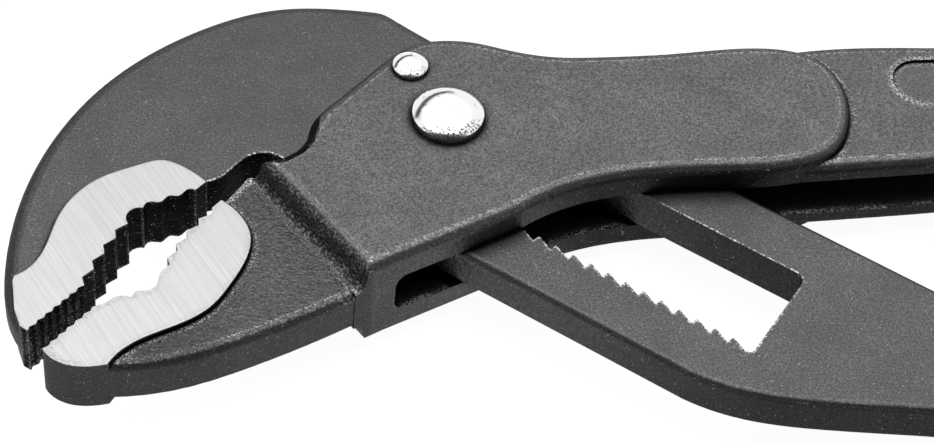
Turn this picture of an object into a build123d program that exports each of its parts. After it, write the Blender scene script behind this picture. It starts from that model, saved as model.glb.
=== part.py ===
from build123d import *
import os
from math import cos, hypot, radians, sin

os.makedirs("parts", exist_ok=True)

# Pipe pliers that adjust themselves: a box joint, a toothed window and a locking pawl.
# Millimetres. X runs from the jaws to the handle ends, Y towards the upper handle, Z up through its thickness.
# The origin is on the main rivet's axis, at the flat land of its rear head, where the tool rests.

# Thicknesses, all centred on the middle plane
boss_thickness = 15.0
handle_thickness = 12.0
lower_jaw_thickness = 6.8
land_thickness = 8.1
shank_thickness = 6.0
box_gap = 6.6
block_thickness = 6.4

# Reach of each region from the main rivet, which scales its outline
jaw_reach = 56.0
boss_reach = 55.0
handle_reach = 193.0

# Shank of the lever, its window and its rack
shank_angle = 32.0
shank_width = 31.2
shank_start = 15.0
shank_end = 66.0
shank_low_end = 46.0
jaw_back_start = 3.0
jaw_back_run = 3.0
window_width = 14.5
window_start = 12.8
window_end = 51.2
window_radius = 1.4
window_root_radius = 0.8
rack_pitch = 2.63
rack_depth = 1.0
rack_start = 0.65
rack_land = 0.25
handle_open_angle = 32.0
handle_close_angle = 2.6
stop_clearance = 0.8

# Rivets
rivet_radius = 3.5
rivet_head_radius = 4.8
rivet_head_height = 2.0
rivet_rim_height = 1.0
rivet_land_radius = 2.2
guide_radius = 1.75
guide_head_radius = 2.4
guide_head_height = 1.2
guide_rim_height = 0.6
guide_land_radius = 0.8
guide_back = 9.1
guide_side = 4.83
turning_clearance = 0.05
sliding_clearance = 0.1

# Pawl and its spring, in the pivot block
block_end = 13.4
block_corner_radius = 0.5
guide_gap = 0.45
pawl_first_tooth = 1
pawl_teeth = 3
pawl_height = 2.6
pawl_retreat = 0.12
spring_wire_radius = 0.2
spring_radius = 0.95
spring_turns = 3.5
spring_length = 3.6
spring_room = 0.15

# Rounded edges, ground and cut details
boss_edge_radius = 1.5
handle_edge_radius = 1.4
jaw_back_radius = 2.0
jaw_edge_radius = 1.3
mouth_radius = 1.8
shank_edge_radius = 1.0
land_edge = 0.25
step_run = 3.2
recess_angle = 6.0
recess_length = 22.0
recess_width = 8.2
recess_depth = 0.4

# Grips
grip_start = 97.0
grip_wall = 3.5
grip_corner_radius = 6.5
grip_lip_radius = 2.0

overrun = 5.0

middle = boss_thickness / 2 + rivet_head_height
half_shank = shank_width / 2
half_window = window_width / 2


def at(shares, size):
    """Points of an outline, given as shares of one size."""
    return [Vector(x * size, y * size) for x, y in shares]


def slab(outline, thickness):
    """Outline thickened evenly about the middle plane."""
    return Pos(0, 0, middle) * extrude(outline, thickness / 2, both=True)


def shank_place(along, side):
    """Point of the shank's own frame: along it from the rivet towards the handles, and to its upper side."""
    turn = radians(shank_angle)
    return Vector(along * cos(turn) + side * sin(turn), side * cos(turn) - along * sin(turn))


def rim_edges(body, kind=None):
    """Edges of the top and bottom faces of a slab."""
    rims = body.edges().group_by(Axis.Z)
    both = rims[0] + rims[-1]
    return both if kind is None else both.filter_by(kind)


# Upper jaw: its back from the tip over the top to the shank, its underside and the line behind its teeth
upper_back_shares = [
    (-0.927, -0.652), (-1.000, -0.440), (-0.960, -0.115), (-0.820, 0.160), (-0.586, 0.366), (-0.380, 0.444),
    (-0.200, 0.447),
]
upper_tip_way = (-0.75, 0.66)
upper_under_shares = [(-0.398, -0.077), (-0.438, -0.071), (-0.471, -0.086), (-0.509, -0.132), (-0.554, -0.170)]
upper_inner_shares = [(-0.652, -0.205), (-0.771, -0.325), (-0.825, -0.518)]

# Ground pad of the upper jaw
upper_pad_tip_shares = [(-0.921, -0.654), (-0.939, -0.643), (-0.957, -0.596), (-0.971, -0.514), (-0.968, -0.496)]
upper_pad_back_shares = [
    (-0.968, -0.496), (-0.925, -0.446), (-0.909, -0.396), (-0.893, -0.318), (-0.873, -0.268), (-0.811, -0.193),
    (-0.721, -0.143), (-0.671, -0.125), (-0.618, -0.141), (-0.559, -0.186),
]
upper_flute_shares = [(-0.584, -0.216), (-0.700, -0.279)]
upper_step_shares = [(-0.730, -0.329), (-0.775, -0.421), (-0.811, -0.518)]
upper_flutes = 3
upper_steps = 4
upper_fine_teeth = 7
upper_flute_sag_share = 0.2
upper_flute_lean_share = 0.4
upper_hollow_sag_share = 0.34
upper_step_root_shares = (0.61, 0.285)
upper_fine_root_shares = (0.59, 0.21)

# Ground pad and body of the lower jaw
lower_step_shares = [(-0.541, -0.268), (-0.609, -0.368), (-0.645, -0.470)]
lower_corner_shares = [(-0.650, -0.507), (-0.664, -0.523), (-0.695, -0.527), (-0.704, -0.546)]
lower_flute_shares = [(-0.704, -0.546), (-0.754, -0.562)]
lower_fine_shares = [(-0.787, -0.579), (-0.884, -0.702)]
lower_pad_tip_shares = [(-0.884, -0.702), (-0.862, -0.727), (-0.828, -0.743), (-0.784, -0.746), (-0.736, -0.736)]
lower_pad_back_shares = [
    (-0.736, -0.736), (-0.668, -0.661), (-0.579, -0.609), (-0.527, -0.566), (-0.482, -0.491), (-0.446, -0.388),
    (-0.446, -0.346), (-0.477, -0.280), (-0.520, -0.241),
]
lower_steps = 5
lower_fine_teeth = 6
lower_crest_sag_share = 0.2
lower_step_root_shares = (0.36, 0.27)
lower_fine_root_shares = (0.4, 0.2)
lower_back_shares = [
    (-0.790, -0.739), (-0.716, -0.737), (-0.630, -0.722), (-0.541, -0.692), (-0.441, -0.644), (-0.321, -0.577),
    (-0.205, -0.504),
]
lower_root_shares = [(-0.143, -0.420), (-0.232, -0.250), (-0.393, -0.164), (-0.463, -0.160), (-0.505, -0.229)]
lower_inner_shares = [(-0.529, -0.260), (-0.589, -0.375), (-0.616, -0.482), (-0.679, -0.589), (-0.780, -0.690)]

# Cheeks of the box joint: the foot of the slope to the lower jaw, the rounded outline and the lower edge
boss_foot_shares = [(-0.205, -0.510), (-0.478, -0.172)]
boss_round_shares = [
    (-0.478, -0.172), (-0.424, -0.160), (-0.375, -0.133), (-0.340, -0.085), (-0.331, -0.040), (-0.269, 0.056),
    (-0.165, 0.184), (-0.084, 0.258), (0.007, 0.279), (0.062, 0.277), (0.147, 0.258), (0.255, 0.242),
    (0.382, 0.250), (0.582, 0.279), (0.798, 0.313), (0.865, 0.309), (0.942, 0.277), (0.993, 0.194),
    (1.000, 0.085), (0.953, -0.031), (0.864, -0.084), (0.687, -0.115), (0.473, -0.145), (0.276, -0.213),
    (0.180, -0.278),
]
boss_low_shares = [(0.180, -0.278), (-0.131, -0.462), (-0.205, -0.510)]

# Upper handle: its edges from the box joint to the rounded end, its channel and its oval recess
upper_handle_top_shares = [
    (0.207, 0.079), (0.256, 0.095), (0.358, 0.107), (0.518, 0.115), (0.777, 0.111), (0.974, 0.085),
]
upper_handle_low_shares = [
    (0.974, 0.028), (0.777, 0.041), (0.518, 0.026), (0.358, -0.006), (0.285, -0.018), (0.197, -0.032),
]
ceiling_shares = [(0.228, 0.063), (0.358, 0.084), (0.455, 0.091)]
web_corner_shares = (0.58, 0.285)
recess_shares = (0.321, 0.066)

# Edges of the lower handle, as shares of its own run on from the corners of the shank's end
lower_handle_top_shares = [(0.084, -0.039), (0.278, -0.062), (0.666, -0.122), (0.961, -0.181)]
lower_handle_low_shares = [
    (0.969, -0.116), (0.735, -0.086), (0.427, -0.046), (0.193, -0.026), (0.106, -0.024), (0.055, -0.019),
]


def saw(path, count, root_shares, side):
    """Points of stepped teeth along a path: each tip, then the root that lies back from it."""
    points = []
    for tooth in range(count):
        tip = path @ (tooth / count)
        pitch = path @ ((tooth + 1) / count) - tip
        inward = Vector(-pitch.Y, pitch.X) * side
        points += [tip, tip + pitch * root_shares[0] + inward * root_shares[1]]
    return points + [path @ 1]


def flute(start, finish, sag_share):
    """One arc between two points, bulged to the right of the way from the first to the second."""
    pitch = finish - start
    return ThreePointArc(start, start + pitch / 2 + Vector(pitch.Y, -pitch.X) * sag_share, finish)


def waves(start, finish, count, sag_share, lean_share):
    """A smooth line of evenly spaced crests and hollows, bulged to the right of the way."""
    pitch = (finish - start) / count
    hollow = pitch * lean_share + Vector(pitch.Y, -pitch.X) * sag_share
    points = [start]
    for wave in range(count):
        points += [start + pitch * wave + hollow, start + pitch * (wave + 1)]
    return Spline(*points)


def upper_jaw_outline():
    """The jaw of the lever, whose back runs on straight along the shank, under the cheeks."""
    back = at(upper_back_shares, jaw_reach) + [shank_place(-jaw_back_start, half_shank)]
    back_end = shank_place(jaw_back_run, half_shank)
    root = [shank_place(jaw_back_run, -half_window), shank_place(-shank_start, -half_shank)]
    under = at(upper_under_shares, jaw_reach)
    inner = at(upper_inner_shares, jaw_reach)
    shank_way = shank_place(1, 0)
    return make_face(
        [
            Spline(*back, tangents=[Vector(*upper_tip_way), shank_way]),
            Line(back[-1], back_end),
            Polyline(back_end, *root, under[0]),
            Spline(*under),
            Polyline(under[-1], *inner, back[0]),
        ]
    )


def upper_pad_outline():
    tip = at(upper_pad_tip_shares, jaw_reach)
    back = at(upper_pad_back_shares, jaw_reach)
    flute_ends = at(upper_flute_shares, jaw_reach)
    steps = at(upper_step_shares, jaw_reach)
    step_teeth = saw(ThreePointArc(*steps), upper_steps, upper_step_root_shares, -1)
    fine_teeth = saw(Line(steps[-1], tip[0]), upper_fine_teeth, upper_fine_root_shares, -1)
    return make_face(
        [
            Polyline(*tip),
            Spline(*back),
            Line(back[-1], flute_ends[0]),
            waves(*flute_ends, upper_flutes, upper_flute_sag_share, upper_flute_lean_share),
            flute(flute_ends[1], steps[0], upper_hollow_sag_share),
            Polyline(*step_teeth, *fine_teeth[1:]),
        ]
    )


def lower_pad_outline():
    back = at(lower_pad_back_shares, jaw_reach)
    corner = at(lower_corner_shares, jaw_reach)
    crest = at(lower_flute_shares, jaw_reach)
    step_path = ThreePointArc(*at(lower_step_shares, jaw_reach))
    step_teeth = saw(step_path, lower_steps, lower_step_root_shares, 1)
    fine_teeth = saw(Line(*at(lower_fine_shares, jaw_reach)), lower_fine_teeth, lower_fine_root_shares, 1)
    return make_face(
        [
            Spline(*back),
            Polyline(back[-1], *step_teeth, *corner),
            flute(*crest, lower_crest_sag_share),
            Polyline(crest[1], *fine_teeth),
            Spline(*at(lower_pad_tip_shares, jaw_reach)),
        ]
    )


def lower_jaw_outline():
    back = at(lower_back_shares, jaw_reach)
    front = at(lower_root_shares + lower_inner_shares, jaw_reach)
    return make_face([Spline(*back), Polyline(back[-1], *front, back[0])])


def boss_outline():
    rounded = at(boss_round_shares, boss_reach)
    low = at(boss_low_shares, boss_reach)
    return make_face([Spline(*rounded), Polyline(*low), Line(low[-1], rounded[0])])


def handle_outline(top, low, root):
    """A handle whose end is a half circle between its two edges."""
    end = ThreePointArc(top[-1], (top[-1] + low[0]) / 2 + Vector((top[-1] - low[0]).length / 2, 0), low[0])
    return make_face([Spline(*top), end, Spline(*low), Polyline(low[-1], *root, top[0])])


def upper_handle_edges():
    """Points of the upper handle's top edge, out to its end, and of its low edge, back from it."""
    return at(upper_handle_top_shares, handle_reach), at(upper_handle_low_shares, handle_reach)


def lower_handle_edges():
    """The same for the lower handle, whose two edges run on from the corners of the shank's end."""
    top_corner = shank_place(shank_end, half_shank)
    low_corner = shank_place(shank_low_end, -half_shank)
    top = [top_corner + place for place in at(lower_handle_top_shares, handle_reach - top_corner.X)]
    low = [low_corner + place for place in at(lower_handle_low_shares, handle_reach - low_corner.X)]
    return [top_corner] + top, low + [low_corner]


def shank_outline():
    corners = [
        shank_place(jaw_back_run, half_shank),
        shank_place(shank_end, half_shank),
        shank_place(shank_low_end, -half_shank),
        shank_place(-shank_start, -half_shank),
    ]
    return make_face(Polyline(*corners, close=True))


def saw_strip(first, count, level):
    """Teeth of the rack's own shape hanging below a level, from one tooth's tip to another's."""
    points = [Vector(rack_start + first * rack_pitch, level)]
    for tooth in range(first, first + count):
        tip = rack_start + tooth * rack_pitch
        points += [
            Vector(tip + rack_land, level),
            Vector(tip + rack_pitch - rack_land, level - rack_depth),
            Vector(tip + rack_pitch, level),
        ]
    return points


def window_outline():
    """The lever's window in the shank's frame, with the rack's teeth along its lower side."""
    box = Pos((window_end - window_start) / 2, 0) * Rectangle(window_end + window_start, window_width)
    box = fillet(box.vertices(), window_radius)
    count = int((window_end - window_radius * 2 - rack_start) / rack_pitch)
    points = saw_strip(0, count, -half_window)
    last_tip = points[-1] + Vector(rack_land, 0)
    fall = rack_depth / (rack_pitch - rack_land * 2)
    end_corner = Vector(window_end, last_tip.Y - (window_end - last_tip.X) * fall)
    points += [last_tip, end_corner, Vector(window_end, 0), Vector(points[0].X, 0)]
    rack = make_face(Polyline(*points, close=True))
    corner = rack.vertices().sort_by(Axis.Y)[0]
    return box + fillet(corner, window_root_radius)


def in_shank_frame(shape):
    """Turns a shape drawn along X to lie along the shank."""
    return Rot(0, 0, -shank_angle) * shape


def pocket_outline():
    """The room inside the box joint and the channel of the upper handle.

    Its two walls by the lower jaw are the stops that the shank's lower edge meets fully open and fully closed.
    """
    reach = half_shank + stop_clearance
    open_way = -90 - shank_angle - handle_open_angle
    closed_way = -90 - shank_angle + handle_close_angle
    corner_way = radians((open_way + closed_way) / 2)
    corner_reach = reach / cos(radians((closed_way - open_way) / 2))
    corner = Vector(cos(corner_way), sin(corner_way)) * corner_reach
    open_wall = Vector(cos(radians(open_way + 90)), sin(radians(open_way + 90))) * boss_reach
    closed_wall = Vector(cos(radians(closed_way - 90)), sin(radians(closed_way - 90))) * boss_reach
    web_corner = Vector(*web_corner_shares) * shank_width
    ceiling = at(ceiling_shares, handle_reach)
    far = handle_reach / 2
    points = [
        corner + open_wall,
        corner,
        corner + closed_wall,
        Vector(-far, far),
        Vector(web_corner.X, far),
        web_corner,
        *ceiling,
        Vector(ceiling[-1].X, -far),
    ]
    return make_face(Polyline(*points, close=True))


def make_pocket():
    """The pocket as a solid, rounded at the end of the mouth where the shank comes out."""
    pocket = slab(pocket_outline(), box_gap)
    way = radians(-shank_angle - handle_open_angle)
    return fillet(rim_edges(pocket).filter_by(Axis((0, 0, 0), (cos(way), sin(way), 0))), mouth_radius)


def rivet(radius, head_radius, head_height, rim_height, land_radius):
    """A rivet through both cheeks, about the middle plane: domed heads with a small flat land."""
    seat = boss_thickness / 2
    top = seat + head_height
    rim = seat + rim_height
    profile = make_face(
        [
            Line((0, top), (land_radius, top)),
            TangentArc((land_radius, top), (head_radius, rim), tangent=(1, 0)),
            Polyline((head_radius, rim), (head_radius, seat), (radius, seat), (radius, 0), (0, 0), (0, top)),
        ]
    )
    half = revolve(Plane.XZ * profile, Axis.Z)
    return half + mirror(half, Plane.XY)


def guide_place():
    return shank_place(-guide_back, guide_side)


def make_main_rivet():
    return Pos(0, 0, middle) * rivet(
        rivet_radius, rivet_head_radius, rivet_head_height, rivet_rim_height, rivet_land_radius
    )


def make_guide_rivet():
    place = guide_place()
    return Pos(place.X, place.Y, middle) * rivet(
        guide_radius, guide_head_radius, guide_head_height, guide_rim_height, guide_land_radius
    )


def soft_pad(outline):
    """A ground pad, raised over its jaw on both faces, with its long back edge eased."""
    pad = slab(outline, land_thickness)
    return fillet(rim_edges(pad).filter_by(GeomType.BSPLINE).group_by(Edge.length)[-1], land_edge)


def make_bar():
    """Shank and lower handle of the lever: all edges rounded but the shank's upper one."""
    lower_handle = handle_outline(*lower_handle_edges(), [shank_place(shank_low_end, 0)])
    bar = slab(shank_outline() + lower_handle, shank_thickness)
    straight = rim_edges(bar).filter_by(GeomType.LINE)
    lower = straight.sort_by(Axis.Y)[:2]
    curved = rim_edges(bar).filter_by(lambda edge: edge.geom_type != GeomType.LINE)
    return fillet(curved + lower, shank_edge_radius)


def make_lever():
    """Lower handle, shank with its toothed window, and upper jaw, forged in one piece."""
    jaw = slab(upper_jaw_outline(), shank_thickness)
    jaw = fillet(rim_edges(jaw).filter_by(GeomType.BSPLINE).group_by(Edge.length)[-1], jaw_back_radius)
    window = slab(in_shank_frame(window_outline()), boss_thickness)
    return make_bar() + jaw + soft_pad(upper_pad_outline()) - window


def foot_wedges():
    """What the slope from the cheeks down to the lower jaw takes away, on both faces."""
    start, finish = at(boss_foot_shares, boss_reach)
    way = (finish - start).normalized()
    plane = Plane(origin=start - way * overrun + Vector(0, 0, middle), x_dir=Vector(way.Y, -way.X), z_dir=way)
    foot = Vector(0, lower_jaw_thickness / 2)
    brow = Vector(step_run, boss_thickness / 2)
    slope = Spline(foot, (foot + brow) / 2, brow, tangents=[(1, 0), (1, 0)])
    above = boss_thickness / 2 + overrun
    wedge = make_face([slope, Polyline(brow, (step_run, above), (-overrun, above), (-overrun, foot.Y), foot)])
    return extrude(plane * (wedge + mirror(wedge, Plane.XZ)), (finish - start).length + overrun * 2)


def make_boss():
    """The cheeks of the box joint, still solid between: rounded all round, with a slope to the lower jaw."""
    boss = slab(boss_outline(), boss_thickness)
    foot = at(boss_foot_shares, boss_reach)
    foot_middle = (foot[0] + foot[1]) / 2 + Vector(0, 0, middle)
    from_foot = rim_edges(boss).sort_by(lambda edge: (edge.center() - foot_middle).length)
    return fillet(from_foot[2:], boss_edge_radius) - foot_wedges()


def make_upper_handle():
    handle = slab(handle_outline(*upper_handle_edges(), []), handle_thickness)
    curved = rim_edges(handle).filter_by(lambda edge: edge.geom_type != GeomType.LINE)
    handle = fillet(curved, handle_edge_radius)
    slot = Pos(*at([recess_shares], handle_reach)[0]) * Rot(0, 0, recess_angle)
    slot = slot * Pos(recess_length / 2, 0) * SlotOverall(recess_length, recess_width)
    return handle - (slab(slot, handle_thickness + overrun) - slab(slot, handle_thickness - recess_depth * 2))


def make_body():
    """Box joint, upper handle and lower jaw, forged in one piece."""
    jaw = slab(lower_jaw_outline(), lower_jaw_thickness)
    jaw = fillet(rim_edges(jaw).filter_by(GeomType.BSPLINE), jaw_edge_radius)
    body = make_boss() + make_upper_handle() + jaw + soft_pad(lower_pad_outline())
    body -= make_pocket()
    place = guide_place()
    holes = Circle(rivet_radius) + Pos(place.X, place.Y) * Circle(guide_radius)
    return body - slab(holes, boss_thickness + overrun)


def block_side():
    """Half the width of the pivot block, which slides in the window."""
    return half_window - sliding_clearance


def pawl_root():
    """Level of the roots between the pawl's teeth, in the shank's frame, with the pawl drawn back."""
    return -block_side() + pawl_retreat + rack_depth


def pawl_middle():
    return rack_start + (pawl_first_tooth + pawl_teeth / 2) * rack_pitch


def in_spring_place(shape):
    """Stands a shape, drawn up along Z, on the back of the pawl."""
    place = Pos(0, 0, middle) * Rot(0, 0, -shank_angle) * Pos(pawl_middle(), pawl_root() + pawl_height)
    return place * Rot(-90, 0, 0) * shape


def make_block():
    """The block that turns on the main rivet and slides in the window, with the pawl's notch."""
    side = block_side()
    reach = hypot(guide_back, guide_side) - guide_radius - guide_gap
    ear = Pos(block_end / 2, 0) * Rectangle(block_end, side * 2)
    ear = fillet(ear.vertices().group_by(Axis.X)[-1], block_corner_radius)
    outline = (Circle(reach) + ear) & Rectangle((block_end + reach) * 2, side * 2)
    notch_top = pawl_root() + pawl_height
    notch_height = notch_top + side + overrun
    notch = Rectangle(pawl_teeth * rack_pitch + sliding_clearance * 2, notch_height)
    notch = Pos(pawl_middle(), notch_top - notch_height / 2) * notch
    outline -= Circle(rivet_radius + turning_clearance) + notch
    hole = Cylinder(
        spring_radius + spring_wire_radius + spring_room,
        spring_length + overrun,
        align=(Align.CENTER, Align.CENTER, Align.MIN),
    )
    return slab(in_shank_frame(outline), block_thickness) - in_spring_place(Pos(0, 0, -overrun) * hole)


def make_pawl():
    """The toothed pawl, drawn back into the block: its teeth are those of the rack, turned over."""
    points = saw_strip(pawl_first_tooth, pawl_teeth, pawl_root())
    back = pawl_root() + pawl_height
    points += [Vector(points[-1].X, back - turning_clearance), Vector(points[0].X, back - turning_clearance)]
    return slab(in_shank_frame(make_face(Polyline(*points, close=True))), block_thickness)


def make_spring():
    """The small coil behind the pawl, which draws it back into the block."""
    height = spring_length - spring_wire_radius * 2
    coil = Helix(height / spring_turns, height, spring_radius)
    wire = Plane(origin=coil @ 0, z_dir=coil % 0) * Circle(spring_wire_radius)
    return in_spring_place(Pos(0, 0, spring_wire_radius) * sweep(wire, path=coil, is_frenet=True))


def grip(top, low, steel):
    """A moulded grip: an even wall over the handle's edges, as thick as the tool, flat where it rests."""
    wall = Vector(0, grip_wall)
    outline = handle_outline([place + wall for place in top], [place - wall for place in low], [])
    past_start = Pos(grip_start + handle_reach, 0) * Rectangle(handle_reach * 2, handle_reach * 2)
    skin = slab(outline & past_start, middle * 2)
    skin = fillet(rim_edges(skin).sort_by(Axis.X)[2:], grip_corner_radius)
    start_face = skin.faces().filter_by(Plane.YZ).sort_by(Axis.X)[0]
    return fillet(start_face.edges(), grip_lip_radius) - steel


for name, piece in {
    "fixed_jaw_body": make_body(),
    "sliding_jaw_lever": make_lever(),
    "main_rivet": make_main_rivet(),
    "guide_rivet": make_guide_rivet(),
    "pivot_block": make_block(),
    "rack_pawl": make_pawl(),
    "pawl_spring": make_spring(),
    "upper_grip": grip(*upper_handle_edges(), make_upper_handle()),
    "lower_grip": grip(*lower_handle_edges(), make_bar()),
}.items():
    export_step(piece, f"parts/{name}.step")
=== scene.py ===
"""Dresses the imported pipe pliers: dark forged steel, ground jaw faces, polished rivets and soft grips."""

from math import cos, radians, sin

import bpy
from mathutils import Matrix, Vector


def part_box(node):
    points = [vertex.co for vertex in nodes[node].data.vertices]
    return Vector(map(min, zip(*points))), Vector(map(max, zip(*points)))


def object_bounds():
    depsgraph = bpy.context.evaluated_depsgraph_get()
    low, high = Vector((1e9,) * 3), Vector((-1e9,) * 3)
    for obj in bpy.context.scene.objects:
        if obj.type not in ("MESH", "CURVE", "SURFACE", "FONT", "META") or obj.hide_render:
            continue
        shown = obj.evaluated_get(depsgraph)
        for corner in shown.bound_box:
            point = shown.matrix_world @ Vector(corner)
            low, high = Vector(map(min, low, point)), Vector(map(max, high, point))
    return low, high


MM = 0.001

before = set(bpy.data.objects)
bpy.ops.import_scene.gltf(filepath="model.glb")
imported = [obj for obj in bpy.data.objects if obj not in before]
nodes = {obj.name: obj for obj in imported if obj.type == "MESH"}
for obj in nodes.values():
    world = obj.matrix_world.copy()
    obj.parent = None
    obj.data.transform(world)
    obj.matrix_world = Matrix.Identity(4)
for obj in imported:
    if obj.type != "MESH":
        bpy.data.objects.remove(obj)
cad_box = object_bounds()

# Places read from the frame
MIDDLE = sum(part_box("main_rivet")[k].z for k in (0, 1)) / 2
LAND_HALF = (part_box("sliding_jaw_lever")[1].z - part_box("sliding_jaw_lever")[0].z) / 2


def shade_of(grey):
    """Linear colour of a neutral grey that is given as it looks on a screen, from 0 to 1."""
    value = ((grey + 0.055) / 1.055) ** 2.4
    return (value, value, value, 1)


# Places on the tool, in its own frame
LAND_RIGHT = -24.6 * MM
LAND_MARGIN = 0.1 * MM
TEETH_RIGHT = -17 * MM

# The slope from the cheeks to the lower jaw: the way across it, where its top is along that way, and its run
SLOPE_WAY = radians(39)
SLOPE_TOP = -23.4 * MM
SLOPE_RUN = 5 * MM
SLOPE_BLUR = 1 * MM

# Directions of the marks in the tool's plane, in degrees
GRIND_ANGLE = -57
SCUFF_ANGLE = -72
MILLING_ANGLE = -32

# Greys as they look on a screen, from 0 to 1
# The darkest two greys are painted shade; the speck, glint and crest greys are painted highlights; the worn
# grey is real wear with a painted highlight on it
DEEP_SHADE_GREY = 0.05
PAINTED_SHADE_GREY = 0.06
SCUFF_GREY = 0.66
SPECK_GLINT_GREY = 0.72
GLINT_GREY = 0.75
CREST_HIGHLIGHT_GREY = 0.56
EDGE_WEAR_AND_GLINT_GREY = 0.95
GROUND_GREYS = (0.71, 0.82)

# Depths that the bumps stand for
FORGED_DEPTH = 0.05 * MM
GRINDING_DEPTH = 0.0008 * MM


# Node helpers


def add(tree, kind, **settings):
    node = tree.nodes.new(kind)
    for name, value in settings.items():
        setattr(node, name, value)
    return node


def join(tree, source, target):
    tree.links.new(source, target)


def feed(tree, slot, value):
    """Gives a slot its value, which is a number, a colour or another node's socket."""
    if isinstance(value, (int, float, tuple)):
        slot.default_value = value
    else:
        join(tree, value, slot)


def maths(tree, operation, *values):
    """A Math node. Each value is a number or a socket."""
    node = add(tree, "ShaderNodeMath", operation=operation)
    for slot, value in zip(node.inputs, values):
        feed(tree, slot, value)
    return node.outputs[0]


def product(tree, first, *others):
    for other in others:
        first = maths(tree, "MULTIPLY", first, other)
    return first


def dot(tree, first, second):
    """The dot product of a socket with a socket or a fixed direction."""
    node = add(tree, "ShaderNodeVectorMath", operation="DOT_PRODUCT")
    feed(tree, node.inputs[0], first)
    feed(tree, node.inputs[1], second)
    return node.outputs["Value"]


def span(tree, value, low, high, out_low=0.0, out_high=1.0, smooth=True):
    """Maps a value from one range to another and stops at its ends."""
    node = add(tree, "ShaderNodeMapRange", interpolation_type="SMOOTHSTEP" if smooth else "LINEAR")
    join(tree, value, node.inputs["Value"])
    for name, number in (("From Min", low), ("From Max", high), ("To Min", out_low), ("To Max", out_high)):
        node.inputs[name].default_value = number
    return node.outputs["Result"]


def blend(tree, kind, slots, share, first, second):
    """A Mix node of one data type, of which only the slots of that type are used."""
    node = add(tree, "ShaderNodeMix", data_type=kind)
    for slot, value in zip(slots, (share, first, second)):
        feed(tree, node.inputs[slot], value)
    return node


def blend_values(tree, share, first, second):
    return blend(tree, "FLOAT", (0, 2, 3), share, first, second).outputs[0]


def blend_vectors(tree, share, first, second):
    return blend(tree, "VECTOR", (0, 4, 5), share, first, second).outputs[1]


def blend_colours(tree, share, first, second):
    return blend(tree, "RGBA", (0, 6, 7), share, first, second).outputs[2]


def object_coords(tree):
    return add(tree, "ShaderNodeTexCoord").outputs["Object"]


def axis(tree, vector, name):
    split = add(tree, "ShaderNodeSeparateXYZ")
    join(tree, vector, split.inputs[0])
    return split.outputs[name]


def noise(tree, coords, size, detail=2.0):
    """Noise whose features are about the given size across, in metres."""
    node = add(tree, "ShaderNodeTexNoise")
    node.inputs["Scale"].default_value = 1 / size
    node.inputs["Detail"].default_value = detail
    join(tree, coords, node.inputs["Vector"])
    return node.outputs["Fac"]


def grain_noise(tree, coords, angle, across, along, detail=3.0):
    """Noise drawn out along a direction of the tool's plane: lines of one width and one length."""
    turn = add(tree, "ShaderNodeMapping", vector_type="POINT")
    turn.inputs["Rotation"].default_value = (0, 0, -radians(angle))
    join(tree, coords, turn.inputs["Vector"])
    stretch = add(tree, "ShaderNodeMapping", vector_type="POINT")
    stretch.inputs["Scale"].default_value = (1 / along, 1 / across, 1 / across)
    join(tree, turn.outputs["Vector"], stretch.inputs["Vector"])
    return noise(tree, stretch.outputs["Vector"], 1, detail)


def bump(tree, height, depth, strength=1.0):
    node = add(tree, "ShaderNodeBump")
    node.inputs["Strength"].default_value = strength
    node.inputs["Distance"].default_value = depth
    join(tree, height, node.inputs["Height"])
    return node.outputs["Normal"]


# Shader groups that both forgings share


def make_group(name, inputs, outputs):
    """An empty shader group: each input is a number with its starting value, and each output is a number."""
    group = bpy.data.node_groups.new(name, "ShaderNodeTree")
    for label, value in inputs.items():
        made = group.interface.new_socket(label, in_out="INPUT", socket_type="NodeSocketFloat")
        made.default_value = value
    for label in outputs:
        group.interface.new_socket(label, in_out="OUTPUT", socket_type="NodeSocketFloat")
    return group, add(group, "NodeGroupInput"), add(group, "NodeGroupOutput")


def pebble_group():
    """The scaled, sand-blasted skin of a forging: its height, fine dark grain, light specks that are painted
    glints, and patches.
    """
    sizes = {"Pebble Size": 0.42 * MM, "Grain Size": 0.26 * MM, "Patch Size": 7 * MM}
    outputs = ("Height", "Fine Height", "Grain", "Specks", "Patches")
    group, given, result = make_group("forged_skin", sizes, outputs)
    coords = object_coords(group)

    def scaled(label, detail, roughness, factor=1.0):
        node = add(group, "ShaderNodeTexNoise")
        join(group, maths(group, "DIVIDE", factor, given.outputs[label]), node.inputs["Scale"])
        node.inputs["Detail"].default_value = detail
        node.inputs["Roughness"].default_value = roughness
        join(group, coords, node.inputs["Vector"])
        return node.outputs["Fac"]

    pebbles = scaled("Pebble Size", 2.5, 0.55)
    swell = scaled("Pebble Size", 1.0, 0.5, 0.22)
    grain = scaled("Grain Size", 2.0, 0.6)
    join(group, maths(group, "MULTIPLY_ADD", swell, 0.8, pebbles), result.inputs["Height"])
    fine = scaled("Pebble Size", 3.0, 0.6, 1.7)
    join(group, maths(group, "MULTIPLY_ADD", swell, 0.5, fine), result.inputs["Fine Height"])
    join(group, span(group, grain, 0.33, 0.67, smooth=False), result.inputs["Grain"])
    join(group, span(group, scaled("Grain Size", 1.0, 0.5, 0.8), 0.66, 0.80), result.inputs["Specks"])
    join(group, span(group, scaled("Patch Size", 3.0, 0.6), 0.3, 0.7, smooth=False), result.inputs["Patches"])
    return group


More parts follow.
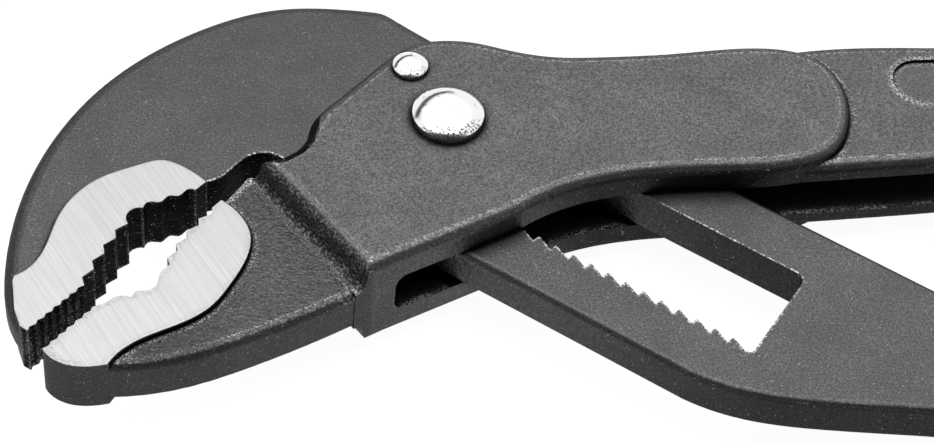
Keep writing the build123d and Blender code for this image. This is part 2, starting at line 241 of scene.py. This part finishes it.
def edge_group():
    """Masks for edges that wear and carry a painted highlight, for corners that get painted shade, and for the
    insides of deep hollows that get painted shade.
    """
    sizes = {"Edge Radius": 1.8 * MM, "Corner Reach": 2.0 * MM, "Hollow Reach": 9 * MM}
    group, given, result = make_group("edge_wear_and_painted_shade", sizes, ("Edges", "Corners", "Hollows"))
    bevel = add(group, "ShaderNodeBevel", samples=8)
    join(group, given.outputs["Edge Radius"], bevel.inputs["Radius"])
    normal = add(group, "ShaderNodeNewGeometry").outputs["Normal"]
    edges = span(group, dot(group, bevel.outputs["Normal"], normal), 0.999, 0.975)

    def openness(label):
        node = add(group, "ShaderNodeAmbientOcclusion", samples=8)
        join(group, given.outputs[label], node.inputs["Distance"])
        return node.outputs["AO"]

    near = openness("Corner Reach")
    far = openness("Hollow Reach")
    join(group, product(group, edges, span(group, near, 0.65, 0.90)), result.inputs["Edges"])
    join(group, span(group, near, 0.95, 0.66), result.inputs["Corners"])
    join(group, span(group, far, 0.62, 0.15), result.inputs["Hollows"])
    return group


SKIN = pebble_group()
EDGE_WEAR_AND_SHADE = edge_group()


def use_group(tree, group, **values):
    """A group in a material. A name such as Edge_Radius sets the input called Edge Radius."""
    node = add(tree, "ShaderNodeGroup", node_tree=group)
    for name, value in values.items():
        node.inputs[name.replace("_", " ")].default_value = value
    return node


# Masks on the forgings: 1 where something is, 0 elsewhere


def tilt_of(tree):
    """1 on a level face, 0 on an upright one."""
    return maths(tree, "ABSOLUTE", axis(tree, add(tree, "ShaderNodeNewGeometry").outputs["Normal"], "Z"))


def land_mask(tree):
    """A jaw's ground faces: level, at the lands' height and left of the cheeks."""
    coords = object_coords(tree)
    from_middle = maths(tree, "ABSOLUTE", maths(tree, "SUBTRACT", axis(tree, coords, "Z"), MIDDLE))
    high = maths(tree, "GREATER_THAN", from_middle, LAND_HALF - LAND_MARGIN)
    low = maths(tree, "LESS_THAN", from_middle, LAND_HALF + LAND_MARGIN)
    left = maths(tree, "LESS_THAN", axis(tree, coords, "X"), LAND_RIGHT)
    level = maths(tree, "GREATER_THAN", tilt_of(tree), 0.9)
    return product(tree, high, low, left, level)


def jaw_sides(tree):
    """The body beyond the top of its slope, which is the lower jaw's side, and beyond the slope's foot."""
    across = dot(tree, object_coords(tree), (cos(SLOPE_WAY), sin(SLOPE_WAY), 0))
    return tuple(span(tree, across, end, end - SLOPE_BLUR) for end in (SLOPE_TOP, SLOPE_TOP - SLOPE_RUN))


def tooth_mask(tree, way, left_end):
    """The walls of a jaw's teeth: upright faces that look toward the other jaw, right of its blunt end."""
    coords = add(tree, "ShaderNodeTexCoord")
    along = axis(tree, coords.outputs["Object"], "X")
    left = maths(tree, "LESS_THAN", along, TEETH_RIGHT)
    right = maths(tree, "GREATER_THAN", along, left_end)
    toward = dot(tree, coords.outputs["Normal"], (*way, 0))
    return product(tree, left, right, span(tree, toward, 0.1, 0.2))


# Materials


def new_material(name):
    material = bpy.data.materials.new(name)
    material.use_nodes = True
    tree = material.node_tree
    tree.nodes.clear()
    shader = add(tree, "ShaderNodeBsdfPrincipled")
    output = add(tree, "ShaderNodeOutputMaterial")
    join(tree, shader.outputs["BSDF"], output.inputs["Surface"])
    return material, tree, shader


def scuff_mask(tree, coords):
    """Faint streaks, in patches, that grow from the joint to the handles."""
    streaks = span(tree, grain_noise(tree, coords, SCUFF_ANGLE, 0.12 * MM, 2.5 * MM), 0.60, 0.74)
    patches = span(tree, noise(tree, coords, 14 * MM), 0.48, 0.62, 0.3, 1.0)
    growth = span(tree, axis(tree, coords, "X"), -15 * MM, 20 * MM, 0.0, 0.5)
    return product(tree, streaks, patches, growth)


def crest_mask(tree, coords, tilt):
    """The tops of the coarse pebbles on the slope beside the lower jaw, which get a painted highlight."""
    leaning = product(tree, span(tree, tilt, 0.98, 0.90), span(tree, tilt, 0.15, 0.35))
    return product(tree, span(tree, noise(tree, coords, 0.38 * MM, 3.0), 0.48, 0.62), leaning)


def ground_steel(tree, coords):
    """The colour of the ground faces, and the lines that the wheel left in them."""
    lines = grain_noise(tree, coords, GRIND_ANGLE, 0.08 * MM, 12 * MM)
    bands = grain_noise(tree, coords, GRIND_ANGLE, 0.5 * MM, 40 * MM, 1.0)
    tone = maths(tree, "MULTIPLY_ADD", bands, 0.12, product(tree, lines, 0.88))
    darker, lighter = (shade_of(grey) for grey in GROUND_GREYS)
    return blend_colours(tree, span(tree, tone, 0.25, 0.75), darker, lighter), lines


def forged_steel(name, light, grain, wall_shade, teeth_way, teeth_left, edge_radius, corner_reach, rough_jaw):
    """Black forged steel: grainy, with painted shade in its corners and hollows, on its upright walls and on
    its rounded edges, and rubbed at its edges with a painted highlight there; its lands are ground.

    Painted shade darkens the upright walls along X; its argument gives where it starts and ends, and its
    shares there.
    """
    material, tree, shader = new_material(name)
    coords = object_coords(tree)
    along = axis(tree, coords, "X")
    skin = use_group(tree, SKIN).outputs
    edge_wear_and_shade = use_group(tree, EDGE_WEAR_AND_SHADE, Edge_Radius=edge_radius, Corner_Reach=corner_reach).outputs
    lands = land_mask(tree)
    walls = tooth_mask(tree, teeth_way, teeth_left)
    tilt = tilt_of(tree)
    upright = span(tree, tilt, 0.85, 0.30)
    coarse = upright

    # The skin, darker on the rough jaw; painted shade on upright walls and on rounded edges
    dark = blend_colours(tree, skin["Patches"], shade_of(light * 0.94), shade_of(light * 1.07))
    dark = blend_colours(tree, skin["Grain"], shade_of(light * (1 - grain)), dark)
    if rough_jaw:
        side, beyond = jaw_sides(tree)
        coarse = maths(tree, "MAXIMUM", product(tree, upright, 0.7), side)
        shaded = span(tree, along, -31 * MM, -25 * MM, 0.64, 0.42)
        dark = blend_colours(tree, product(tree, side, shaded), dark, shade_of(light * 0.5))
    dark = blend_colours(tree, scuff_mask(tree, coords), dark, shade_of(SCUFF_GREY))
    # Painted shade on upright walls, growing along X
    dark = blend_colours(tree, product(tree, upright, span(tree, along, *wall_shade)), dark, shade_of(PAINTED_SHADE_GREY))
    # Painted shade on rounded edges between level and upright faces
    rounding_shade = product(tree, span(tree, tilt, 0.97, 0.85), span(tree, tilt, 0.20, 0.50), 0.5)
    dark = blend_colours(tree, rounding_shade, dark, shade_of(DEEP_SHADE_GREY))

    # Wear at the edges with a painted highlight on it, and painted glints on the walls of the teeth
    rub_and_glint_spots = span(tree, noise(tree, coords, 0.30 * MM), 0.48, 0.57)
    places = span(tree, noise(tree, coords, 5 * MM, 3.0), 0.35, 0.60, 0.35, 1.0)
    edges = product(tree, edge_wear_and_shade["Edges"], rub_and_glint_spots, places)
    sparks = span(tree, noise(tree, coords, 0.3 * MM, 3.0), 0.66, 0.72)
    glints = maths(tree, "MAXIMUM", product(tree, edges, 0.5), sparks)
    edge_wear_and_glint = product(tree, edges, span(tree, tilt, 0.80, 0.97))
    # Rubbed edges: real wear with a painted highlight
    colour = blend_colours(tree, edge_wear_and_glint, dark, shade_of(EDGE_WEAR_AND_GLINT_GREY))
    # Painted glints: light specks over the skin
    colour = blend_colours(tree, product(tree, skin["Specks"], 0.4), colour, shade_of(SPECK_GLINT_GREY))
    # Painted shade in corners and in deep hollows
    colour = blend_colours(tree, edge_wear_and_shade["Corners"], colour, shade_of(PAINTED_SHADE_GREY))
    colour = blend_colours(tree, edge_wear_and_shade["Hollows"], colour, shade_of(DEEP_SHADE_GREY))
    bright = maths(tree, "MAXIMUM", edge_wear_and_glint, product(tree, walls, glints))
    if rough_jaw:
        # Painted highlight on the tops of the slope's pebbles
        crests = product(tree, crest_mask(tree, coords, tilt), maths(tree, "SUBTRACT", side, beyond))
        colour = blend_colours(tree, product(tree, crests, 0.65), colour, shade_of(CREST_HIGHLIGHT_GREY))
        bright = maths(tree, "MAXIMUM", bright, product(tree, crests, 0.35))
    # Painted shade on the teeth walls, with painted glints on it
    painted_tooth_wall = blend_colours(tree, glints, shade_of(DEEP_SHADE_GREY), shade_of(GLINT_GREY))
    colour = blend_colours(tree, walls, colour, painted_tooth_wall)

    # The ground lands over all of it
    ground, lines = ground_steel(tree, coords)
    join(tree, blend_colours(tree, lands, colour, ground), shader.inputs["Base Color"])
    roughness = maths(tree, "MULTIPLY_ADD", skin["Grain"], -0.12, 0.46)
    join(tree, blend_values(tree, lands, roughness, 0.42), shader.inputs["Roughness"])
    join(tree, maths(tree, "MULTIPLY_ADD", bright, -0.6, 0.92), shader.inputs["Metallic"])
    shader.inputs["Specular Tint"].default_value = shade_of(0.75)
    height = blend_values(tree, coarse, skin["Fine Height"], product(tree, skin["Height"], 3.0))
    relief = bump(tree, height, FORGED_DEPTH)
    normal = blend_vectors(tree, lands, relief, bump(tree, lines, GRINDING_DEPTH))
    join(tree, normal, shader.inputs["Normal"])
    return material


def polished_steel(name):
    """Domed rivet heads: bright, and pitted where the head leans to the front."""
    material, tree, shader = new_material(name)
    coords = add(tree, "ShaderNodeTexCoord")
    place = coords.outputs["Object"]
    lean = dot(tree, coords.outputs["Normal"], (0.25, -0.97, 0))
    pits = span(tree, noise(tree, place, 0.3 * MM, 3.0), 0.50, 0.60)
    pits = product(tree, pits, span(tree, lean, 0.24, 0.34))
    stains = span(tree, noise(tree, place, 0.8 * MM, 4.0), 0.60, 0.70)
    marks = maths(tree, "MAXIMUM", pits, product(tree, stains, 0.35))
    join(tree, blend_colours(tree, marks, shade_of(0.96), shade_of(0.30)), shader.inputs["Base Color"])
    shader.inputs["Metallic"].default_value = 1.0
    join(tree, maths(tree, "MULTIPLY_ADD", marks, 0.25, 0.17), shader.inputs["Roughness"])
    join(tree, bump(tree, noise(tree, place, 1.2 * MM), 0.04 * MM, 0.5), shader.inputs["Normal"])
    return material


def machined_steel(name):
    """Milled and hardened steel of the pivot block, the pawl and the spring."""
    material, tree, shader = new_material(name)
    lines = grain_noise(tree, object_coords(tree), MILLING_ANGLE, 0.2 * MM, 12 * MM)
    colour = blend_colours(tree, span(tree, lines, 0.35, 0.65), shade_of(0.50), shade_of(0.62))
    join(tree, colour, shader.inputs["Base Color"])
    shader.inputs["Metallic"].default_value = 0.9
    join(tree, maths(tree, "MULTIPLY_ADD", lines, 0.2, 0.3), shader.inputs["Roughness"])
    join(tree, bump(tree, lines, 0.01 * MM), shader.inputs["Normal"])
    return material


def grip_plastic(name):
    """Soft dipped plastic: nearly black, fine grained, a little dusty in its patches."""
    material, tree, shader = new_material(name)
    coords = object_coords(tree)
    grain = noise(tree, coords, 0.35 * MM)
    patches = span(tree, noise(tree, coords, 14 * MM, 3.0), 0.35, 0.65)
    join(tree, blend_colours(tree, patches, shade_of(0.20), shade_of(0.235)), shader.inputs["Base Color"])
    join(tree, maths(tree, "MULTIPLY_ADD", grain, 0.2, 0.42), shader.inputs["Roughness"])
    join(tree, bump(tree, grain, 0.03 * MM, 0.6), shader.inputs["Normal"])
    return material


def dress_all():
    """Gives each node of the CAD its material."""
    body = forged_steel(
        "forged_body",
        light=0.455,
        grain=0.36,
        wall_shade=(3 * MM, 22 * MM, 0.30, 0.85),
        teeth_way=(-0.6, 0.8),
        teeth_left=-47 * MM,
        edge_radius=1.8 * MM,
        corner_reach=2.0 * MM,
        rough_jaw=True,
    )
    lever = forged_steel(
        "forged_lever",
        light=0.405,
        grain=0.30,
        wall_shade=(8 * MM, 45 * MM, 0.30, 0.75),
        teeth_way=(0.6, -0.8),
        teeth_left=-60 * MM,
        edge_radius=0.6 * MM,
        corner_reach=0.9 * MM,
        rough_jaw=False,
    )
    finishes = (
        (body, ("fixed_jaw_body",)),
        (lever, ("sliding_jaw_lever",)),
        (polished_steel("polished_rivet"), ("main_rivet", "guide_rivet")),
        (machined_steel("machined_block"), ("pivot_block", "rack_pawl", "pawl_spring")),
        (grip_plastic("dipped_grip"), ("upper_grip", "lower_grip")),
    )
    for material, names in finishes:
        for name in names:
            mesh = nodes[name].data
            mesh.materials.clear()
            mesh.materials.append(material)


dress_all()

# Camera: worked out from the tool's own edges in the photograph, in the tool's frame
CAMERA_PLACE = Vector((-15.99, -226.54, 256.66)) * MM
CAMERA_RIGHT = Vector((0.9970, 0, 0.0772))
CAMERA_UP = Vector((-0.0506, 0.7558, 0.6529))
FOCAL_PIXELS = 2474
PICTURE_WIDTH = 934
SENSOR_MILLIMETRES = 36
CLIP_START = 10 * MM

# Stage, in metres. Cards are four corners each, and the lamp hangs level and shines down
FLOOR_HALF = 3.0
FLOOR_DROP = 0.05 * MM
FLOOR_GREY = 0.25
FLOOR_GLOW = 0.95
FRONT_CARD = [(-1.0, -0.95, 0.62), (1.0, -0.95, 0.62), (1.0, -0.42, 1.0), (-1.0, -0.42, 1.0)]
FRONT_GREY = 0.04
BACK_CARD = [(-1.2, 0.55, 0.52), (0.1, 1.1, 0.42), (0.1, 1.1, 0.76), (-1.2, 0.55, 0.94)]
BACK_GREY = 0.2
KEY_PLACE = (-0.1, 0.25, 0.9)
KEY_TARGET = (-0.1, 0.25, 0)
KEY_SIZE = (1.1, 1.1)
KEY_WATTS = 4.2
SKY_STRENGTH = 0.44
WHITE = (1, 1, 1, 1)


def make_camera():
    data = bpy.data.cameras.new("studio_camera")
    camera = bpy.data.objects.new("studio_camera", data)
    bpy.context.scene.collection.objects.link(camera)
    back = CAMERA_RIGHT.cross(CAMERA_UP).normalized()
    turn = Matrix((CAMERA_RIGHT, CAMERA_UP, back)).transposed().to_4x4()
    camera.matrix_world = Matrix.Translation(CAMERA_PLACE) @ turn
    data.sensor_width = SENSOR_MILLIMETRES
    data.lens = FOCAL_PIXELS * data.sensor_width / PICTURE_WIDTH
    data.clip_start = CLIP_START
    bpy.context.scene.camera = camera


def seen_rays(tree):
    """Rays that look at the background: the camera's, and those from metal and glass."""
    path = add(tree, "ShaderNodeLightPath")
    mirrored = maths(tree, "MAXIMUM", path.outputs["Is Glossy Ray"], path.outputs["Is Transmission Ray"])
    return maths(tree, "MAXIMUM", path.outputs["Is Camera Ray"], mirrored)


def stage_plane(name, corners):
    """A flat piece of the stage with a material that is still empty."""
    mesh = bpy.data.meshes.new(name)
    mesh.from_pydata(corners, [], [(0, 1, 2, 3)])
    plane = bpy.data.objects.new(name, mesh)
    bpy.context.scene.collection.objects.link(plane)
    material = bpy.data.materials.new(name)
    material.use_nodes = True
    tree = material.node_tree
    tree.nodes.clear()
    mesh.materials.append(material)
    return plane, tree, add(tree, "ShaderNodeOutputMaterial")


def make_floor():
    """A white floor that keeps a faint shadow of the tool, and that is clear from below."""
    half = FLOOR_HALF
    down = cad_box[0].z - FLOOR_DROP
    corners = [(-half, -half, down), (half, -half, down), (half, half, down), (-half, half, down)]
    _, tree, output = stage_plane("floor", corners)
    matt = add(tree, "ShaderNodeBsdfDiffuse")
    matt.inputs["Color"].default_value = (FLOOR_GREY, FLOOR_GREY, FLOOR_GREY, 1)
    glow = add(tree, "ShaderNodeEmission")
    glow.inputs["Color"].default_value = WHITE
    glow.inputs["Strength"].default_value = FLOOR_GLOW
    both = add(tree, "ShaderNodeAddShader")
    join(tree, matt.outputs[0], both.inputs[0])
    join(tree, glow.outputs[0], both.inputs[1])
    mix = add(tree, "ShaderNodeMixShader")
    join(tree, seen_rays(tree), mix.inputs[0])
    join(tree, matt.outputs[0], mix.inputs[1])
    join(tree, both.outputs[0], mix.inputs[2])
    below = add(tree, "ShaderNodeMixShader")
    join(tree, add(tree, "ShaderNodeNewGeometry").outputs["Backfacing"], below.inputs[0])
    join(tree, mix.outputs[0], below.inputs[1])
    join(tree, add(tree, "ShaderNodeBsdfTransparent").outputs[0], below.inputs[2])
    join(tree, below.outputs[0], output.inputs["Surface"])


def make_card(name, corners, grey):
    """A dark studio card that the steel mirrors, and that the camera doesn't see."""
    card, tree, output = stage_plane(name, corners)
    matt = add(tree, "ShaderNodeBsdfDiffuse")
    matt.inputs["Color"].default_value = shade_of(grey)
    join(tree, matt.outputs[0], output.inputs["Surface"])
    card.visible_camera = False


def make_light(name, place, target, size, power):
    """A flat rectangular lamp that faces its target."""
    data = bpy.data.lights.new(name, "AREA")
    data.shape = "RECTANGLE"
    data.size, data.size_y = size
    data.energy = power
    lamp = bpy.data.objects.new(name, data)
    lamp.location = place
    lamp.rotation_euler = (Vector(target) - Vector(place)).to_track_quat("-Z", "Y").to_euler()
    bpy.context.scene.collection.objects.link(lamp)


def make_world():
    """Soft light all round, and white where the camera or a mirroring surface looks at the background."""
    world = bpy.data.worlds.new("studio")
    bpy.context.scene.world = world
    world.use_nodes = True
    tree = world.node_tree
    tree.nodes.clear()
    output = add(tree, "ShaderNodeOutputWorld")
    soft = add(tree, "ShaderNodeBackground")
    soft.inputs["Color"].default_value = WHITE
    soft.inputs["Strength"].default_value = SKY_STRENGTH
    white = add(tree, "ShaderNodeBackground")
    white.inputs["Color"].default_value = WHITE
    white.inputs["Strength"].default_value = 1.0
    mix = add(tree, "ShaderNodeMixShader")
    join(tree, seen_rays(tree), mix.inputs[0])
    join(tree, soft.outputs[0], mix.inputs[1])
    join(tree, white.outputs[0], mix.inputs[2])
    join(tree, mix.outputs[0], output.inputs["Surface"])


make_camera()
make_floor()
make_world()
make_card("front_card", FRONT_CARD, FRONT_GREY)
make_card("back_card", BACK_CARD, BACK_GREY)
make_light("key", KEY_PLACE, KEY_TARGET, KEY_SIZE, KEY_WATTS)
bpy.context.scene.view_settings.view_transform = "Standard"
